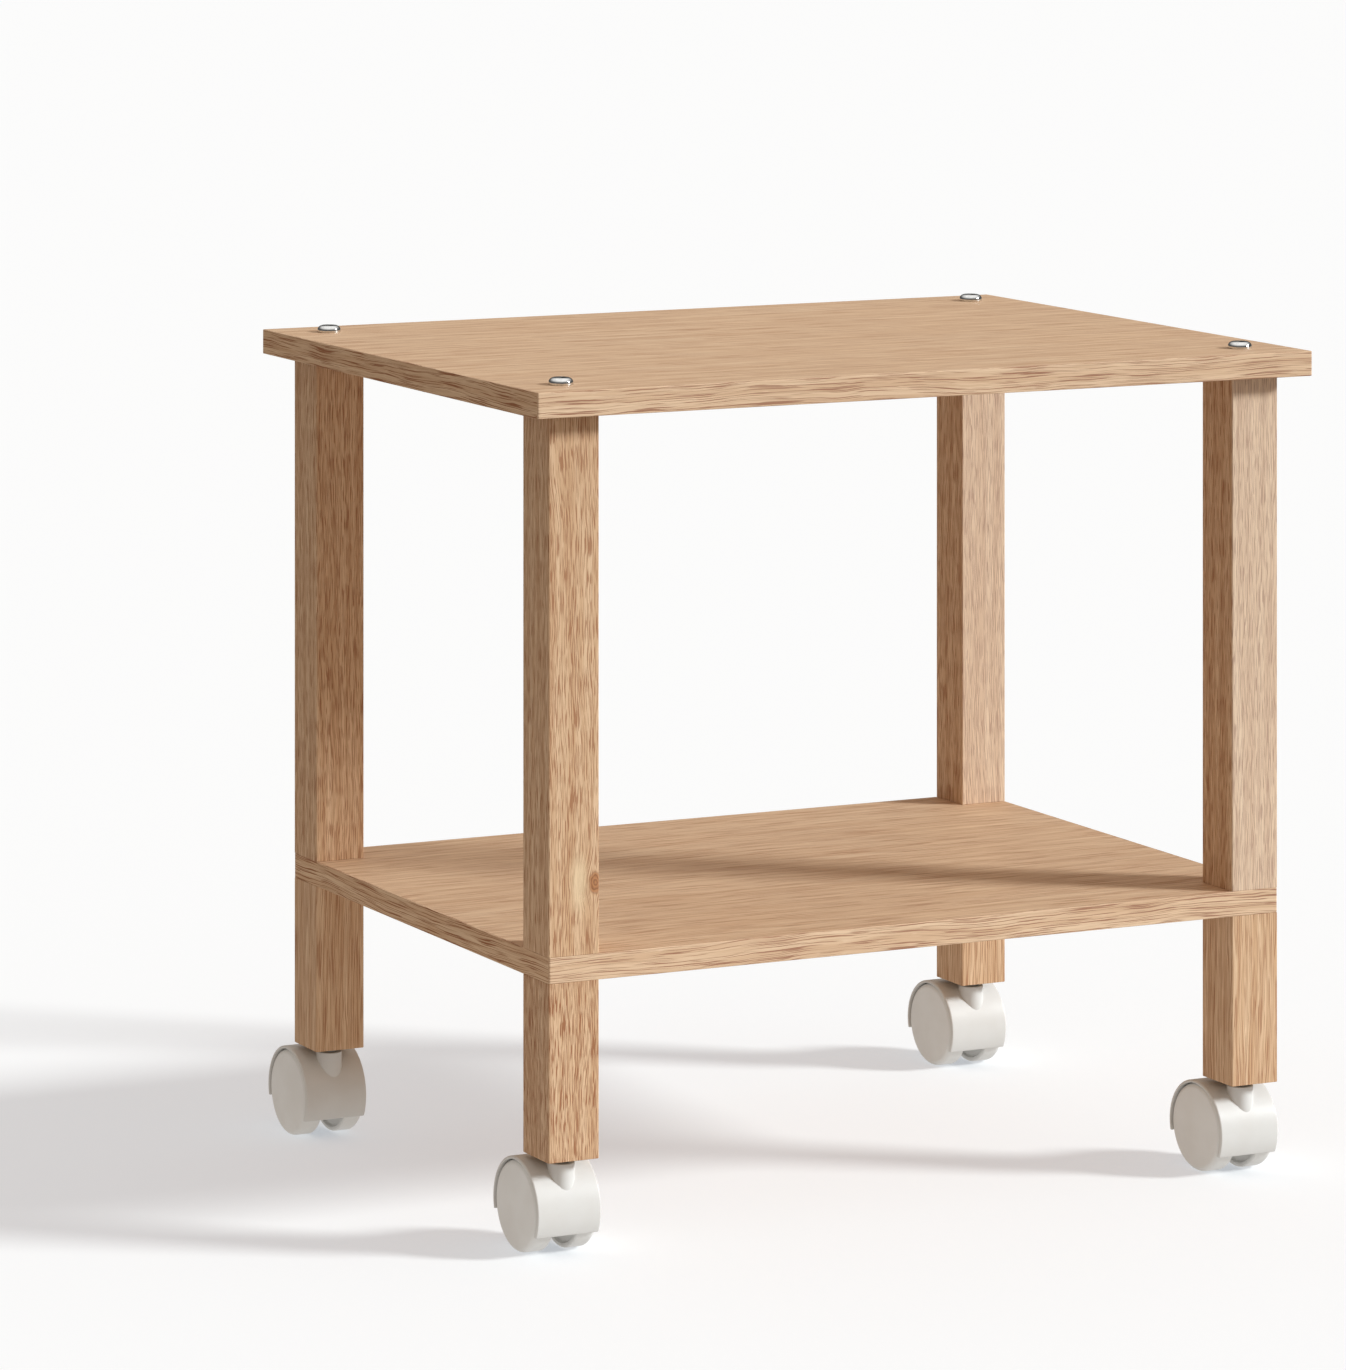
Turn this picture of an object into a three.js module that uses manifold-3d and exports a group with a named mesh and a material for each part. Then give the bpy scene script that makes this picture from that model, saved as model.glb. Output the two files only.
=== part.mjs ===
// Mobile printer stand: two laminated boards on square wooden posts, rolling on four twin-wheel casters.
// Millimetres, +Z up, front towards -Y. The origin is on the floor under the middle of the whole
// footprint, which the back casters stretch a little past the back edge of the top.
// The posts come in two lengths with the lower shelf clamped between them by studs.
// A bolt through each corner of the top runs into a threaded insert in the post.
// The threaded stem of each caster screws into an insert in the post's foot.
import * as THREE from "three";
import { mergeVertices } from "three/addons/utils/BufferGeometryUtils.js";
import Module from "manifold-3d";

const wasm = await Module();
wasm.setup();

// ---- driving dimensions ----
const TOP = { width: 420, depth: 300, thick: 12 };
const OVERHANG = 12; // top board beyond the posts, all round
const SHELF_THICK = 12;
const BAND = { thick: 1, glue: 0.02 }; // edge band on both boards, and the glue line behind it
const POST = { side: 26, upper: 248, lower: 82, chamfer: 0.8 };
const MOUNT_HEIGHT = 46; // floor to the foot of the lower post

const BOLT = { shank: 2.9, length: 30, head: 5.8, headHeight: 3.4, rim: 1.2, hex: 4, hexDepth: 1.5 };
const STUD = { radius: 2.9, length: 38, point: 0.8 };
const CLEARANCE_HOLE = 3.3; // bolt and stud holes through the boards
const DRILL_PAST = 8; // how far a post's hole runs on beyond its insert
const M6_INSERT = { bore: 3.1, barrel: 5.2, barb: 5.8, flange: 6.6, flangeThick: 1, length: 12 };
const M8_INSERT = { bore: 4.1, barrel: 5.9, barb: 6.5, flange: 7.4, flangeThick: 1, length: 14 };
const POCKET_GAP = 0.2; // between an insert and its pocket

const WHEEL = { radius: 21, inner: 6.2, outer: 16.8, dish: 1.6, rim: 2.4, hub: 5.5, shoulder: 2, dome: 0.5 };
const AXLE = { radius: 2.5, half: 14.5, point: 0.4 };
const AXLE_BORE = 2.6;
const TRAIL = 14; // axle behind the swivel axis
const HOOD = { outer: 22.8, inner: 21.5, half: 16.6, back: -15, front: 208 }; // degrees from +Y over the top
const WEB_HALF = 2; // plate between the two wheels
const BODY_HUB = { radius: 5, half: 6 };
const SOCKET = { radius: 5.5, bore: 3.6, chamber: 4.2, chamberTop: 19, floor: 16, low: 14 };
const BOSS = { radius: 6.4, top: 43.2 };
const STEM = { pin: 3.5, bead: 4, beadTop: 18.8, foot: 16.4, collar: 4.4, thread: 3.9, threadLength: 15 };
const STEM_PLAY = 0.2; // collar above the boss

const FINE = 24; // segments round a wheel
const HOOD_ARC = 12; // half the segments along a hood
const ROUND = 16;
const SMALL_ROUND = 12;

// ---- levels and centres worked out from the driving dimensions ----
const SHELF_BOTTOM = MOUNT_HEIGHT + POST.lower;
const SHELF_TOP = SHELF_BOTTOM + SHELF_THICK;
const BOARD_BOTTOM = SHELF_TOP + POST.upper;
const BOARD_TOP = BOARD_BOTTOM + TOP.thick;
const SHELF = { width: TOP.width - 2 * OVERHANG, depth: TOP.depth - 2 * OVERHANG, thick: SHELF_THICK };
const POST_X = SHELF.width / 2 - POST.side / 2;
const POST_Y = SHELF.depth / 2 - POST.side / 2;
const MIDDLE_Y = (POST_Y + TRAIL + HOOD.outer - TOP.depth / 2) / 2; // middle of the footprint, front to back
const CORNERS = {
  front_left: [-POST_X, -POST_Y],
  front_right: [POST_X, -POST_Y],
  back_left: [-POST_X, POST_Y],
  back_right: [POST_X, POST_Y],
};

const finish = (color, roughness, metalness = 0) =>
  new THREE.MeshStandardMaterial({ color, roughness, metalness });
const MATERIALS = {
  board: finish(0xd2b18b, 0.55),
  band: finish(0xd8b994, 0.5),
  post: finish(0xcfa97f, 0.6),
  steel: finish(0xc9c9c6, 0.25, 1),
  zinc: finish(0xb5b2a6, 0.45, 1),
  nylon: finish(0xe9e8e3, 0.42),
};

// ---- solids ----
// A closed geometry as a manifold, with only its positions kept.
function solid(geometry) {
  const bare = geometry.clone();
  bare.deleteAttribute("normal");
  bare.deleteAttribute("uv");
  const merged = mergeVertices(bare, 1e-4);
  const vertProperties = merged.attributes.position.array;
  const triVerts = new Uint32Array(merged.index.array);
  return new wasm.Manifold(new wasm.Mesh({ numProp: 3, vertProperties, triVerts }));
}

function geometryOf(manifold) {
  const { vertProperties, triVerts } = manifold.getMesh();
  const geometry = new THREE.BufferGeometry();
  geometry.setAttribute("position", new THREE.BufferAttribute(new Float32Array(vertProperties), 3));
  geometry.setIndex(new THREE.BufferAttribute(new Uint32Array(triVerts), 1));
  geometry.computeVertexNormals();
  return geometry;
}

const box = (width, depth, low, high) =>
  new THREE.BoxGeometry(width, depth, high - low).translate(0, 0, (low + high) / 2);

const upright = (radius, low, high, segments = SMALL_ROUND) =>
  new THREE.CylinderGeometry(radius, radius, high - low, segments)
    .rotateX(Math.PI / 2)
    .translate(0, 0, (low + high) / 2);

// A cylinder along X whose axis passes through the axle's centre.
const crossways = (radius, half, segments) =>
  new THREE.CylinderGeometry(radius, radius, 2 * half, segments)
    .rotateZ(Math.PI / 2)
    .translate(0, TRAIL, WHEEL.radius);

// A profile of [radius, height] pairs turned round Z.
const turned = (profile, segments = SMALL_ROUND) =>
  new THREE.LatheGeometry(profile.map(([r, z]) => new THREE.Vector2(r, z)), segments).rotateX(Math.PI / 2);

// ---- boards ----
const circle = (radius, x, y, segments) =>
  Array.from({ length: segments }, (_, i) => {
    const angle = (2 * Math.PI * i) / segments;
    return new THREE.Vector2(x + radius * Math.cos(angle), y + radius * Math.sin(angle));
  });

// A flat slab whose faces are laid out as a 3 by 3 grid with a round hole in each corner cell,
// so the clear area between the posts is one plain rectangle.
function drilledSlab({ width, depth, thick }, holeRadius) {
  const triangles = [];
  const push = (points, z) => points.forEach((p, i) => triangles.push(p.x, p.y, Array.isArray(z) ? z[i] : z));
  const wall = (p, q) => {
    push([p, q, q], [0, 0, thick]);
    push([p, q, p], [0, thick, thick]);
  };
  const corner = (x, y) => new THREE.Vector2(x, y);
  const gridX = [-width / 2, POST.side - SHELF.width / 2, SHELF.width / 2 - POST.side, width / 2];
  const gridY = [-depth / 2, POST.side - SHELF.depth / 2, SHELF.depth / 2 - POST.side, depth / 2];
  for (const i of [0, 1, 2]) {
    for (const j of [0, 1, 2]) {
      const cell = [
        corner(gridX[i], gridY[j]),
        corner(gridX[i + 1], gridY[j]),
        corner(gridX[i + 1], gridY[j + 1]),
        corner(gridX[i], gridY[j + 1]),
      ];
      const drilled = i !== 1 && j !== 1;
      const hole = drilled ? circle(holeRadius, (i - 1) * POST_X, (j - 1) * POST_Y, SMALL_ROUND) : [];
      const points = [...cell, ...hole];
      for (const [a, b, c] of THREE.ShapeUtils.triangulateShape(cell, drilled ? [hole] : [])) {
        push([points[a], points[b], points[c]], thick);
        push([points[a], points[c], points[b]], 0);
      }
      hole.forEach((p, k) => wall(hole[(k + 1) % hole.length], p));
      if (j === 0) wall(cell[0], cell[1]);
      if (i === 2) wall(cell[1], cell[2]);
      if (j === 2) wall(cell[2], cell[3]);
      if (i === 0) wall(cell[3], cell[0]);
    }
  }
  const geometry = new THREE.BufferGeometry();
  geometry.setAttribute("position", new THREE.Float32BufferAttribute(triangles, 3));
  return mergeVertices(geometry, 1e-4);
}

// A board without its edge band.
function core({ width, depth, thick }) {
  return drilledSlab({ width: width - 2 * BAND.thick, depth: depth - 2 * BAND.thick, thick }, CLEARANCE_HOLE);
}

// The band runs round all four edges of a board as one thin frame.
function edgeBand({ width, depth, thick }) {
  const inner = 2 * (BAND.thick - BAND.glue);
  const opening = solid(box(width - inner, depth - inner, -1, thick + 1));
  return geometryOf(solid(box(width, depth, 0, thick)).subtract(opening));
}

// ---- posts ----
// A square bar with eased long edges.
function squareBar(length) {
  const h = POST.side / 2;
  const c = POST.chamfer;
  const outline = new THREE.Shape();
  outline.moveTo(h - c, -h);
  for (const quarter of [0, 1, 2, 3]) {
    for (const [x, y] of [[h, -h + c], [h, h - c]]) {
      const corner = new THREE.Vector2(x, y).rotateAround(new THREE.Vector2(), (quarter * Math.PI) / 2);
      outline.lineTo(corner.x, corner.y);
    }
  }
  return solid(new THREE.ExtrudeGeometry(outline, { depth: length, bevelEnabled: false }));
}

// The pocket for an insert, open at z = 0 and running up into the bar.
function insertPocket(insert) {
  const flange = solid(upright(insert.flange + POCKET_GAP, -1, insert.flangeThick + POCKET_GAP));
  const barrel = solid(upright(insert.barb + POCKET_GAP, -1, insert.length + POCKET_GAP));
  const drill = solid(upright(insert.bore + POCKET_GAP, -1, insert.length + DRILL_PAST));
  return flange.add(barrel).add(drill);
}

function drilledPost(length, footInsert, headInsert) {
  const head = insertPocket(headInsert).rotate([180, 0, 0]).translate([0, 0, length]);
  return geometryOf(squareBar(length).subtract(insertPocket(footInsert)).subtract(head));
}

// ---- fasteners ----
function topBolt() {
  const { head, headHeight, rim, shank, length, hex, hexDepth } = BOLT;
  const crown = [[head, rim], [head * 0.86, headHeight * 0.72], [head * 0.6, headHeight], [0, headHeight]];
  const tip = [[0, -length], [shank - 0.6, -length], [shank, 0.6 - length]];
  const profile = [...tip, [shank, 0], [head, 0], ...crown];
  const socket = upright(hex / Math.sqrt(3), headHeight - hexDepth, headHeight + 1, 6);
  return geometryOf(solid(turned(profile, ROUND)).subtract(solid(socket)));
}

function stud() {
  const { radius, length, point } = STUD;
  const half = length / 2;
  const top = [[radius, half - point], [radius - point, half], [0, half]];
  return turned([[0, -half], [radius - point, -half], [radius, point - half], ...top]);
}

// A barbed insert with its flange at z = 0 and its barrel running up.
function threadedInsert({ bore, barrel, barb, flange, flangeThick, length }) {
  const shoulder = [[flange, 0], [flange, flangeThick], [barrel, flangeThick]];
  return turned([[bore, 0], ...shoulder, [barb, length * 0.6], [barrel, length], [bore, length], [bore, 0]]);
}

// ---- casters: swivel axis on Z, floor at z = 0, axle TRAIL behind the swivel axis ----
// A sector about the axle in the plane of the wheels: a ring, or a pie slice if inner is 0.
function sector(outer, inner, half) {
  const from = THREE.MathUtils.degToRad(HOOD.back);
  const to = THREE.MathUtils.degToRad(HOOD.front);
  const outline = new THREE.Shape();
  outline.absarc(0, 0, outer, from, to, false);
  if (inner > 0) outline.absarc(0, 0, inner, to, from, true);
  else outline.lineTo(0, 0);
  const turnToX = new THREE.Matrix4().makeBasis(
    new THREE.Vector3(0, 1, 0),
    new THREE.Vector3(0, 0, 1),
    new THREE.Vector3(1, 0, 0),
  );
  const options = { depth: 2 * half, bevelEnabled: false, curveSegments: HOOD_ARC };
  const plate = new THREE.ExtrudeGeometry(outline, options);
  return solid(plate.applyMatrix4(turnToX).translate(-half, TRAIL, WHEEL.radius));
}

function casterBody() {
  const { radius, bore, chamber, chamberTop, floor, low } = SOCKET;
  const wheelSpace = solid(crossways(HOOD.inner, HOOD.half, 2 * HOOD_ARC));
  const boss = solid(upright(BOSS.radius, WHEEL.radius, BOSS.top, ROUND)).subtract(wheelSpace);
  return geometryOf(
    sector(HOOD.outer, HOOD.inner, HOOD.half)
      .add(sector((HOOD.outer + HOOD.inner) / 2, 0, WEB_HALF))
      .add(boss)
      .add(solid(upright(radius, low, BOSS.top, ROUND)))
      .add(solid(crossways(BODY_HUB.radius, BODY_HUB.half, ROUND)))
      .subtract(solid(upright(bore, floor, BOSS.top + 1, ROUND)))
      .subtract(solid(upright(chamber, floor, chamberTop, ROUND)))
      .subtract(solid(crossways(AXLE_BORE, HOOD.half, SMALL_ROUND))),
  );
}

// The stem: a pin whose bead is snapped into the body's chamber, a collar under the post, and the thread.
function casterStem() {
  const { pin, bead, beadTop, foot, collar, thread, threadLength } = STEM;
  const collarFoot = BOSS.top + STEM_PLAY;
  const tip = MOUNT_HEIGHT + threadLength;
  const beadEnd = [[0, foot], [pin, foot], [bead, foot + 0.5], [bead, beadTop], [pin, beadTop]];
  const threadEnd = [[thread, MOUNT_HEIGHT], [thread, tip - 0.8], [thread - 0.8, tip], [0, tip]];
  return turned(
    [...beadEnd, [pin, collarFoot], [collar, collarFoot], [collar, MOUNT_HEIGHT], ...threadEnd],
    ROUND,
  );
}

function axle() {
  const { radius, half, point } = AXLE;
  const ends = [[radius, point - half], [radius, half - point], [radius - point, half]];
  return turned([[0, -half], [radius - point, -half], ...ends, [0, half]]).rotateY(Math.PI / 2);
}

// A wheel turned about Z, with a shallow dish in its inner face at z = 0 and a domed outer face.
// The end of the axle is let into a blind hole in it.
// Its tread is faceted, so it is drawn to stand on a flat with the axle at the true radius.
function wheel() {
  const { radius, inner, outer, dish, rim, hub, shoulder, dome } = WHEEL;
  const width = outer - inner;
  const blind = AXLE.half - inner + 0.3;
  const tread = radius / Math.cos(Math.PI / FINE);
  const bearing = [[0, blind], [AXLE_BORE, blind], [AXLE_BORE, 0], [hub, 0], [hub, dish]];
  const face = [
    [tread, width - dome - shoulder],
    [tread - shoulder * 0.3, width - dome - shoulder * 0.3],
    [tread - shoulder, width - dome],
  ];
  const profile = [...bearing, [radius - rim, dish], [radius - rim, 0], [tread, 0], ...face, [0, width]];
  return turned(profile, FINE).rotateZ(Math.PI / FINE);
}

// ---- assembly ----
const stand = new THREE.Group();
const frame = new THREE.Group();
frame.position.set(0, -MIDDLE_Y, 0);
stand.add(frame);

function add(parent, name, geometry, material, x = 0, y = 0, z = 0) {
  const mesh = new THREE.Mesh(geometry, MATERIALS[material]);
  mesh.name = name;
  mesh.position.set(x, y, z);
  parent.add(mesh);
}

add(frame, "top_board", core(TOP), "board", 0, 0, BOARD_BOTTOM);
add(frame, "top_edge_band", edgeBand(TOP), "band", 0, 0, BOARD_BOTTOM);
add(frame, "lower_shelf", core(SHELF), "board", 0, 0, SHELF_BOTTOM);
add(frame, "shelf_edge_band", edgeBand(SHELF), "band", 0, 0, SHELF_BOTTOM);

const SHAPES = {
  upperPost: drilledPost(POST.upper, M6_INSERT, M6_INSERT),
  lowerPost: drilledPost(POST.lower, M8_INSERT, M6_INSERT),
  insertUp: threadedInsert(M6_INSERT),
  insertDown: threadedInsert(M6_INSERT).rotateX(Math.PI),
  footInsert: threadedInsert(M8_INSERT),
  bolt: topBolt(),
  stud: stud(),
  body: casterBody(),
  stem: casterStem(),
  axle: axle(),
  rightWheel: wheel().rotateY(Math.PI / 2),
  leftWheel: wheel().rotateY(-Math.PI / 2),
};

function addCaster(parent, corner) {
  add(parent, `caster_body_${corner}`, SHAPES.body, "nylon");
  add(parent, `caster_axle_${corner}`, SHAPES.axle, "steel", 0, TRAIL, WHEEL.radius);
  add(parent, `wheel_right_${corner}`, SHAPES.rightWheel, "nylon", WHEEL.inner, TRAIL, WHEEL.radius);
  add(parent, `wheel_left_${corner}`, SHAPES.leftWheel, "nylon", -WHEEL.inner, TRAIL, WHEEL.radius);
}

for (const [corner, [x, y]] of Object.entries(CORNERS)) {
  const column = new THREE.Group();
  column.position.set(x, y, 0);
  frame.add(column);
  add(column, `upper_post_${corner}`, SHAPES.upperPost, "post", 0, 0, SHELF_TOP);
  add(column, `lower_post_${corner}`, SHAPES.lowerPost, "post", 0, 0, MOUNT_HEIGHT);
  add(column, `top_bolt_${corner}`, SHAPES.bolt, "steel", 0, 0, BOARD_TOP);
  add(column, `top_insert_${corner}`, SHAPES.insertDown, "zinc", 0, 0, BOARD_BOTTOM);
  add(column, `upper_insert_${corner}`, SHAPES.insertUp, "zinc", 0, 0, SHELF_TOP);
  add(column, `shelf_stud_${corner}`, SHAPES.stud, "zinc", 0, 0, (SHELF_BOTTOM + SHELF_TOP) / 2);
  add(column, `lower_insert_${corner}`, SHAPES.insertDown, "zinc", 0, 0, SHELF_BOTTOM);
  add(column, `caster_insert_${corner}`, SHAPES.footInsert, "zinc", 0, 0, MOUNT_HEIGHT);
  add(column, `caster_stem_${corner}`, SHAPES.stem, "steel");
  addCaster(column, corner);
}

export default stand;
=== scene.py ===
"""Looks of the mobile printer stand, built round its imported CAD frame. Metres, +Z up, front towards -Y.

Each visible sub-part is rebuilt at full detail in the place of its CAD node. The boards and the hardware
inside the posts are the CAD nodes themselves, given better finishes.
"""

import math

import bpy
from mathutils import Matrix, Vector


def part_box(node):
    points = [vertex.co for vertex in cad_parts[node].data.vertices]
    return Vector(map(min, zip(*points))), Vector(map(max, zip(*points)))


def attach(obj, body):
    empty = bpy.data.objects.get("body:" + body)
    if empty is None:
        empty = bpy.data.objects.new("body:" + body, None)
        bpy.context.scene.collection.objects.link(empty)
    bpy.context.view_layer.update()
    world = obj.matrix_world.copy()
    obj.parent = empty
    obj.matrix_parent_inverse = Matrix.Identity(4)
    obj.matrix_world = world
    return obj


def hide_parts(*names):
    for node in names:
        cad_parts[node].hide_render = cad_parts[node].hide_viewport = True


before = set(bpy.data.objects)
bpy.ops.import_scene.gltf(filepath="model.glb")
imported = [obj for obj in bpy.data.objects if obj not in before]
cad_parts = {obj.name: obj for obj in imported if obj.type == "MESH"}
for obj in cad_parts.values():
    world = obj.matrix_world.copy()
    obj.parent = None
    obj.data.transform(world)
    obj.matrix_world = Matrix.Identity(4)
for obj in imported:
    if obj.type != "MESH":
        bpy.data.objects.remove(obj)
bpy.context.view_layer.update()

MM = 0.001
CORNERS = ("front_left", "front_right", "back_left", "back_right")


# ---- places, read from the frame ----
def middle(node):
    low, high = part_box(node)
    return (low + high) / 2


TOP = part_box("top_edge_band")
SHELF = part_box("shelf_edge_band")
COLUMN = {c: middle(f"upper_post_{c}") for c in CORNERS}
AXLE = {c: middle(f"caster_axle_{c}") for c in CORNERS}


def on_column(corner):
    """Moves things made round the origin to the vertical line through this corner's post and caster stem."""
    return Matrix.Translation((COLUMN[corner].x, COLUMN[corner].y, 0))


# ---- node material helpers ----
def srgb(red, green, blue):
    """An 8-bit screen colour as a linear RGBA value."""
    values = [c / 255 for c in (red, green, blue)]
    return [c / 12.92 if c < 0.04045 else ((c + 0.055) / 1.055) ** 2.4 for c in values] + [1.0]


class Nodes:
    """Adds nodes to one tree. A socket value may be a number, a tuple or another node's output."""

    def __init__(self, tree):
        self.tree = tree

    def add(self, kind, inputs=None, **settings):
        node = self.tree.nodes.new(kind)
        for key, value in settings.items():
            setattr(node, key, value)
        for key, value in (inputs or {}).items():
            self.feed(node.inputs[key], value)
        return node

    def feed(self, socket, value):
        if isinstance(value, bpy.types.NodeSocket):
            self.tree.links.new(value, socket)
        else:
            socket.default_value = value

    def math(self, operation, a, b=0.0, clamp=False):
        node = self.add("ShaderNodeMath", {0: a, 1: b}, operation=operation, use_clamp=clamp)
        return node.outputs[0]

    def scaled(self, vector, scale):
        node = self.add("ShaderNodeVectorMath", {0: vector, 1: scale}, operation="MULTIPLY")
        return node.outputs[0]

    def around_zero(self, value, reach):
        """A value of 0..1 moved and stretched to -reach / 2..reach / 2."""
        return self.math("MULTIPLY", self.math("SUBTRACT", value, 0.5), reach)

    def split(self, vector):
        return self.add("ShaderNodeSeparateXYZ", {0: vector}).outputs

    def joined(self, x, y, z):
        return self.add("ShaderNodeCombineXYZ", {0: x, 1: y, 2: z}).outputs[0]

    def noise(self, vector, scale, detail=2.0, roughness=0.5):
        """Noise with its own scale along each axis, in cycles per unit of the vector."""
        inputs = {"Vector": self.scaled(vector, scale), "Scale": 1.0}
        inputs.update({"Detail": detail, "Roughness": roughness})
        return self.add("ShaderNodeTexNoise", inputs).outputs["Fac"]

    def ramp(self, value, low, high, from_=0.0, to=1.0):
        """Value mapped smoothly from low..high to from_..to."""
        inputs = {"Value": value, "From Min": low, "From Max": high, "To Min": from_, "To Max": to}
        return self.add("ShaderNodeMapRange", inputs, interpolation_type="SMOOTHSTEP").outputs["Result"]

    def mix(self, factor, a, b):
        """Colour a turned into colour b by factor."""
        node = self.add("ShaderNodeMix", data_type="RGBA")
        for key, value in ((0, factor), (6, a), (7, b)):
            self.feed(node.inputs[key], value)
        return node.outputs[2]


def material(name):
    """A new material with its node helper and its surface shader."""
    made = bpy.data.materials.new(name)
    made.use_nodes = True
    made.node_tree.nodes.clear()
    nodes = Nodes(made.node_tree)
    surface = nodes.add("ShaderNodeBsdfPrincipled")
    output = nodes.add("ShaderNodeOutputMaterial")
    made.node_tree.links.new(surface.outputs[0], output.inputs[0])
    return made, nodes, surface


def bump(nodes, surface, height, strength, distance):
    node = nodes.add("ShaderNodeBump", {"Height": height, "Strength": strength, "Distance": distance})
    nodes.feed(surface.inputs["Normal"], node.outputs[0])


# ---- oak ----
OAK_LIGHT = srgb(232, 201, 166)
OAK_DARK = srgb(214, 177, 140)
OAK_PORE = srgb(158, 106, 72)
OAK_FIBRE = srgb(188, 148, 110)
OAK_FLECK = srgb(240, 213, 182)
# Painted light: the pale colour that faces towards the front and upwards are mixed towards.
OAK_PAINTED_LIGHT = (0.95, 0.93, 0.86, 1)
KNOT_PALE = srgb(236, 212, 174)
KNOT_RING = srgb(178, 118, 72)
KNOT_CORE = srgb(132, 78, 42)
FIGURE_KEYS = ("Pore length", "Pore spacing", "Pore level", "Pore strength", "Ring width")


def oak_figure():
    """Oak grain as a node group. Its vector is in millimetres: x along the grain and y across it."""
    tree = bpy.data.node_groups.new("oak_figure", "ShaderNodeTree")
    tree.interface.new_socket("Vector", in_out="INPUT", socket_type="NodeSocketVector")
    for name in FIGURE_KEYS:
        tree.interface.new_socket(name, in_out="INPUT", socket_type="NodeSocketFloat")
    for name, kind in (("Color", "Color"), ("Pores", "Float"), ("Sheen", "Float")):
        tree.interface.new_socket(name, in_out="OUTPUT", socket_type=f"NodeSocket{kind}")
    n = Nodes(tree)
    given = n.add("NodeGroupInput").outputs
    place = given["Vector"]

    # Slow waves bend every grain line a little.
    split = n.split(place)
    slow = n.around_zero(n.noise(place, (0.006, 0.02, 1)), 12.0)
    quick = n.around_zero(n.noise(place, (0.04, 0.12, 1)), 1.8)
    across = n.math("ADD", split[1], n.math("ADD", slow, quick))
    bent = n.joined(split[0], across, split[2])

    # Growth rings: each starts with a band of open pores and fades out.
    drift = n.math("MULTIPLY", n.noise(bent, (0.0035, 0.025, 1), 1.0), 5.0)
    ring = n.math("FRACT", n.math("ADD", n.math("DIVIDE", across, given["Ring width"]), drift))
    early = n.math("ADD", n.ramp(ring, 0.0, 0.6, 1.0, 0.0), n.ramp(ring, 0.85, 1.0, 0.0, 1.0), clamp=True)

    # Pores: short dark dashes along the grain, crowded into the start of each ring.
    per_length = n.math("DIVIDE", 1.0, given["Pore length"])
    per_spacing = n.math("DIVIDE", 1.0, given["Pore spacing"])
    dashes = n.noise(bent, n.joined(per_length, per_spacing, 1.0), 1.2)
    level = n.math("SUBTRACT", given["Pore level"], n.math("MULTIPLY", early, 0.05))
    pores = n.ramp(n.math("SUBTRACT", dashes, level), 0.0, 0.06)

    # Fine fibres, broad tone streaks and small bright flecks.
    fibres = n.noise(bent, (0.025, 1.6, 1), 3.0, 0.65)
    streaks = n.noise(bent, (0.007, 0.22, 1), 3.0, 0.55)
    flecks = n.ramp(n.noise(place, (0.12, 0.5, 1), 1.0), 0.6, 0.8)
    tone = n.math("ADD", n.ramp(streaks, 0.3, 0.7), n.math("MULTIPLY", early, 0.25), clamp=True)
    color = n.mix(tone, OAK_LIGHT, OAK_DARK)
    color = n.mix(n.ramp(fibres, 0.38, 0.68, 0.0, 0.5), color, OAK_FIBRE)
    color = n.mix(n.math("MULTIPLY", flecks, 0.25), color, OAK_FLECK)
    color = n.mix(n.math("MULTIPLY", pores, given["Pore strength"]), color, OAK_PORE)

    n.add("NodeGroupOutput", {"Color": color, "Pores": pores, "Sheen": fibres})
    return tree


OAK = oak_figure()


def oval(n, vector, centre, size):
    """Distance from centre in units of size, both in millimetres, along and across the grain."""
    inputs = {"Vector": vector, "Location": (-centre[0] / size[0], -centre[1] / size[1], 0)}
    scaled = n.add("ShaderNodeMapping", {**inputs, "Scale": (1 / size[0], 1 / size[1], 0)}).outputs[0]
    return n.add("ShaderNodeVectorMath", {0: scaled}, operation="LENGTH").outputs["Value"]


def round_knot(n, vector, knot):
    """The grain vector squeezed so that the lines flow round a knot."""
    push = n.ramp(oval(n, vector, knot, (18.0, 12.0)), 0.1, 1.0, 0.75, 0.0)
    split = n.split(vector)
    aside = n.math("MULTIPLY", n.math("SUBTRACT", split[1], knot[1]), push)
    return n.joined(split[0], n.math("SUBTRACT", split[1], aside), split[2])


def knot_color(n, vector, knot, color):
    """A small brown knot with rings in it, and a pale oval beside it where the grain turns."""
    ripple = n.around_zero(n.noise(vector, (0.3, 0.5, 1), 2.0), 0.5)
    pale = n.math("ADD", oval(n, vector, (knot[0] + 1, knot[1] - 8.5), (17.0, 5.5)), ripple)
    color = n.mix(n.ramp(pale, 0.2, 1.2, 0.65, 0.0), color, KNOT_PALE)
    middle = n.math("ADD", oval(n, vector, knot, (4.6, 3.0)), ripple)
    rings = n.math("FRACT", n.math("MULTIPLY", middle, 2.6))
    brown = n.mix(n.ramp(rings, 0.2, 0.9), KNOT_RING, KNOT_CORE)
    return n.mix(n.ramp(middle, 0.75, 1.5, 0.85, 0.0), color, brown)


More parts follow.
